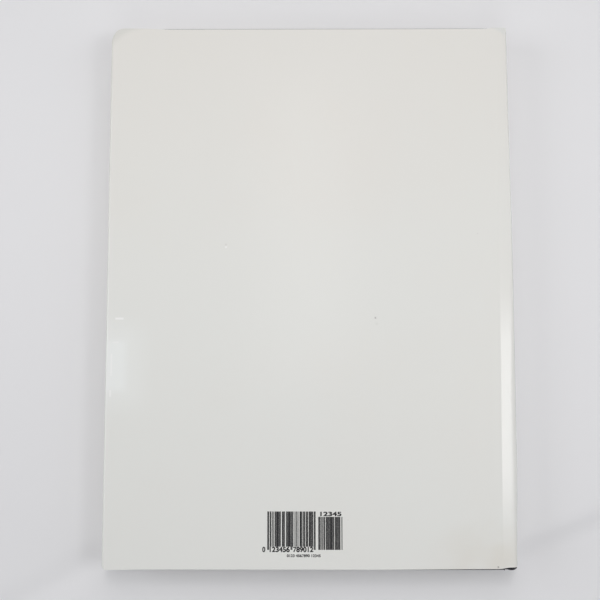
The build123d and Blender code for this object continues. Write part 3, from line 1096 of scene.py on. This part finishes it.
greyboard = card_material("greyboard", colour(0.3, 0.285, 0.255), colour(0.47, 0.45, 0.41))
lining_paper = card_material("lining_paper", colour(0.42, 0.31, 0.2), colour(0.55, 0.43, 0.3))
finishes = {
    "back_board": greyboard,
    "front_board": greyboard,
    "spine_inlay": greyboard,
    "spine_lining": lining_paper,
    "back_case_cloth": book_cloth,
    "front_case_cloth": book_cloth,
}
for node, finish in finishes.items():
    materials = frame["nodes"][node].data.materials
    materials.clear()
    materials.append(finish)

# %% [markdown]
# ## The printed bar code
#
# Ink spreads a little as it dries, so every printed bar is wider than it was drawn: we take the
# solid's bars and widen them. A bar code is printed with its number in plain figures. These are
# generic figures that count up from nought. They are flat text turned into a mesh, lying on the
# jacket in the same ink, which the film covers as it does the paper.

# %% Ink material
def ink_material():
    paint = Material("black_ink", Specular_IOR_Level=0.5, Coat_Weight=0.7, Coat_Roughness=0.16)
    speckle = paint.coordinates().noise(2600, 3)
    paint.set("Base Color", speckle.mix(colour(0.012, 0.012, 0.014), colour(0.028, 0.028, 0.03)))
    paint.set("Roughness", speckle.ramp(0.3, 0.7, 0.35, 0.5))
    return paint.made


black_ink = ink_material()

# %% Bars and digits
bar_gain = 0.06 * mm
stroke_gain = 0.045  # how far the strokes are fattened, as a share of the type's size
ink_depth = code_high.z - code_low.z


def mesh_numbers(items, name, width, kind=float):
    """One number or row of numbers for each vertex, face or corner of a mesh."""
    values = np.zeros(len(items) * width, dtype=kind)
    items.foreach_get(name, values)
    return values.reshape(-1, width) if width > 1 else values


def ink_piece(name, mesh, place):
    """An object of ink on the back cover, from a mesh and the new places of its points."""
    mesh.vertices.foreach_set("co", place.ravel())
    mesh.materials.clear()
    mesh.materials.append(black_ink)
    piece = bpy.data.objects.new(name, mesh)
    bpy.context.scene.collection.objects.link(piece)
    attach(piece, "back_cover")
    return piece


def printed_bars():
    """The solid's bars, each wider by the gain: from left to right their sides take turns."""
    mesh = frame["nodes"]["barcode_print"].data.copy()
    place = mesh_numbers(mesh.vertices, "co", 3)
    side = np.unique(np.round(place[:, 0], 6), return_inverse=True)[1].ravel()
    place[:, 0] += np.where(side % 2 == 0, -bar_gain / 2, bar_gain / 2)
    piece = ink_piece("bar_code", mesh, place)
    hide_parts("barcode_print")


def fattened(mesh, place):
    """Every outline moved outwards: each wall pushes its corners along its own normal."""
    corner = np.unique(np.round(place[:, :2], 5), axis=0, return_inverse=True)[1].ravel()
    outward = np.zeros((corner.max() + 1, 2))
    normal = mesh_numbers(mesh.polygons, "normal", 3)
    corners = mesh_numbers(mesh.polygons, "loop_total", 1, np.int32)
    face = np.repeat(np.arange(len(normal)), corners)
    vertex = mesh_numbers(mesh.loops, "vertex_index", 1, np.int32)
    wall = abs(normal[face, 2]) < 0.5
    np.add.at(outward, corner[vertex[wall]], normal[face[wall], :2])
    outward /= np.linalg.norm(outward, axis=1, keepdims=True)
    place[:, :2] += stroke_gain * outward[corner]
    return place


def figures(name, text, left, low, width, height):
    """Plain figures in a row of this size, as a thin mesh on top of the jacket."""
    curve = bpy.data.curves.new(name, "FONT")
    curve.body = text
    curve.size = 1.0
    curve.extrude = 0.01
    typed = bpy.data.objects.new(name + "_typed", curve)
    bpy.context.scene.collection.objects.link(typed)
    bpy.context.view_layer.update()
    mesh = bpy.data.meshes.new_from_object(typed)
    bpy.data.objects.remove(typed)
    place = fattened(mesh, mesh_numbers(mesh.vertices, "co", 3))
    span = place.max(axis=0) - place.min(axis=0)
    size = np.array((width, height, ink_depth)) / span
    place = (place - place.min(axis=0)) * size + np.array((left, low, code_low.z))
    ink_piece(name, mesh, place)
    print(f"{name}: {text}, {width / mm:.1f} by {height / mm:.1f} mm")


# Each row's name, what it says, its lower left corner, and its width and height
code_rows = [
    ("code_figure_first", "0", -27.1 * mm, -145.1 * mm, 1.7 * mm, 3.0 * mm),
    ("code_figures_left", "123456", -23.0 * mm, -145.1 * mm, 11.2 * mm, 3.0 * mm),
    ("code_figures_right", "789012", -10.0 * mm, -145.1 * mm, 11.2 * mm, 3.0 * mm),
    ("extra_figures", "12345", 5.1 * mm, -125.5 * mm, 11.8 * mm, 2.5 * mm),
    ("small_figures", "0123 4567890 12345", -13.5 * mm, -147.8 * mm, 18.8 * mm, 1.6 * mm),
]
printed_bars()
for code_row in code_rows:
    figures(*code_row)

# %% [markdown]
# ## Table and light
#
# The book lies on a pale sheet with two soft creases, in the light of a bright room. A crease is
# a slope: the sheet sinks smoothly across a line and slowly rises again behind it, and both fade
# out past the line's ends. Only the middle of the sheet needs a fine grid for that.
#
# Four lamps stand for the room's walls, and a strip above the book for its ceiling. A wide panel
# over the upper half of the book gives the slow fall in brightness from head to tail, and one
# panel on the right gives the gloss on the strip beside the crease. A dim sky fills the rest. The
# camera and clear things see it as a pale backdrop, brighter than it shines.

# %% Floor
def floor_material():
    paint = Material("pale_table", Specular_IOR_Level=0.2)
    coords = paint.coordinates()
    mottle = coords.noise(6, 3)
    paint.set("Base Color", mottle.mix(colour(0.82, 0.82, 0.84), colour(0.845, 0.845, 0.865)))
    paint.set("Roughness", mottle.ramp(0.3, 0.7, 0.75, 0.85))
    return paint.made


floor_half = 3.0
fine_half = 0.3  # of the part of the sheet that has the fine grid
fade_in = 30 * mm
fade_out = 60 * mm

# The creases: from where to where the line runs, how deep the sheet sinks on its tail side, over
# which half width, and where behind the line it begins and ends to rise again
creases = [
    (Vector((128, -145)) * mm, Vector((168, -130)) * mm, 3.5 * mm, 7 * mm, 60 * mm, 150 * mm),
    (Vector((-180, -179)) * mm, Vector((-127, -151)) * mm, 2.2 * mm, 9 * mm, 2 * mm, 19 * mm),
]


def creased(x, y):
    """How far the sheet sinks at its creases. Each fades out past its ends."""
    depth = 0 * x
    for start, end, deep, wide, back, rise in creases:
        along = (end - start).normalized()
        ahead = (x - start.x) * along.x + (y - start.y) * along.y
        behind = (x - start.x) * along.y - (y - start.y) * along.x
        length = (end - start).length
        fade = smooth(ahead, -fade_in, 0) * (1 - smooth(ahead, length, length + fade_out))
        slope = smooth(behind, -wide, wide) * (1 - smooth(behind, back, rise))
        depth = depth + deep * slope * fade
    return depth


coarse_line = np.linspace(-floor_half, floor_half, 9)
fine_line = np.linspace(-fine_half, fine_half, 201)
floor_line = np.unique(np.concatenate((coarse_line, fine_line)))
floor_x, floor_y = np.meshgrid(floor_line, floor_line)
floor_points = np.stack((floor_x, floor_y, cad_box[0].z - creased(floor_x, floor_y)), axis=-1)
floor_faces = grid_faces(len(floor_line), len(floor_line), turned=True)
floor_mesh = bpy.data.meshes.new("table")
floor_mesh.from_pydata(floor_points.reshape(-1, 3).tolist(), [], floor_faces.tolist())
floor_mesh.shade_smooth()
floor_mesh.materials.append(floor_material())
floor = bpy.data.objects.new("table", floor_mesh)
bpy.context.scene.collection.objects.link(floor)

# %% Lamps and sky
sky_light = 0.2
backdrop_light = 0.8


def lamp(name, place, target, width, height, watts, tint):
    """An oblong lamp at a place, turned so that it shines towards its target."""
    data = bpy.data.lights.new(name, "AREA")
    data.shape = "RECTANGLE"
    data.size = width
    data.size_y = height
    data.energy = watts
    data.color = tint
    made = bpy.data.objects.new(name, data)
    bpy.context.scene.collection.objects.link(made)
    turned = (Vector(target) - Vector(place)).to_track_quat("-Z", "Y")
    made.matrix_world = Matrix.Translation(place) @ turned.to_matrix().to_4x4()
    return made


lamp("head_wall", (0.1, 1.3, 1.3), (0, 0, 0), 1.4, 0.9, 3.5, (1.0, 0.98, 0.965))
lamp("tail_wall", (0, -1.1, 1.1), (0, 0, 0), 0.9, 0.9, 2.4, (0.985, 1.0, 1.0))
lamp("left_wall", (-1.3, 0.1, 0.85), (0, 0, 0), 0.9, 0.9, 5.6, (0.97, 0.985, 1.0))
lamp("right_wall", (1.3, 0, 0.75), (0, 0, 0), 0.9, 0.8, 2.8, (0.985, 0.99, 1.0))
lamp("right_panel", (0.55, -0.1, 0.92), (0.1, -0.1, 0), 0.3, 0.24, 1.3, (1.0, 1.0, 1.0))
overhead = [
    lamp("ceiling_strip", (0, 0.2, 0.95), (0, 0.2, 0), 0.14, 0.5, 1.9, (1.0, 0.99, 0.96)),
    lamp("overhead_panel", (-0.04, 0.1, 0.38), (-0.04, 0.1, 0), 0.8, 0.18, 0.285, (1.0, 0.97, 0.94)),
]
for light in overhead:
    light.visible_glossy = False

world = bpy.data.worlds.new("sky")
world.use_nodes = True
sky = world.node_tree.nodes["Background"]
sky.inputs["Color"].default_value = colour(0.97, 0.97, 1.0)
path = world.node_tree.nodes.new("ShaderNodeLightPath")
seen = world.node_tree.nodes.new("ShaderNodeMath")
seen.operation = "MAXIMUM"
world.node_tree.links.new(path.outputs["Is Camera Ray"], seen.inputs[0])
world.node_tree.links.new(path.outputs["Is Transmission Ray"], seen.inputs[1])
strength = world.node_tree.nodes.new("ShaderNodeMapRange")
strength.inputs["To Min"].default_value = sky_light
strength.inputs["To Max"].default_value = backdrop_light
world.node_tree.links.new(seen.outputs[0], strength.inputs["Value"])
world.node_tree.links.new(strength.outputs["Result"], sky.inputs["Strength"])
bpy.context.scene.world = world

bpy.context.scene.view_settings.view_transform = "Standard"
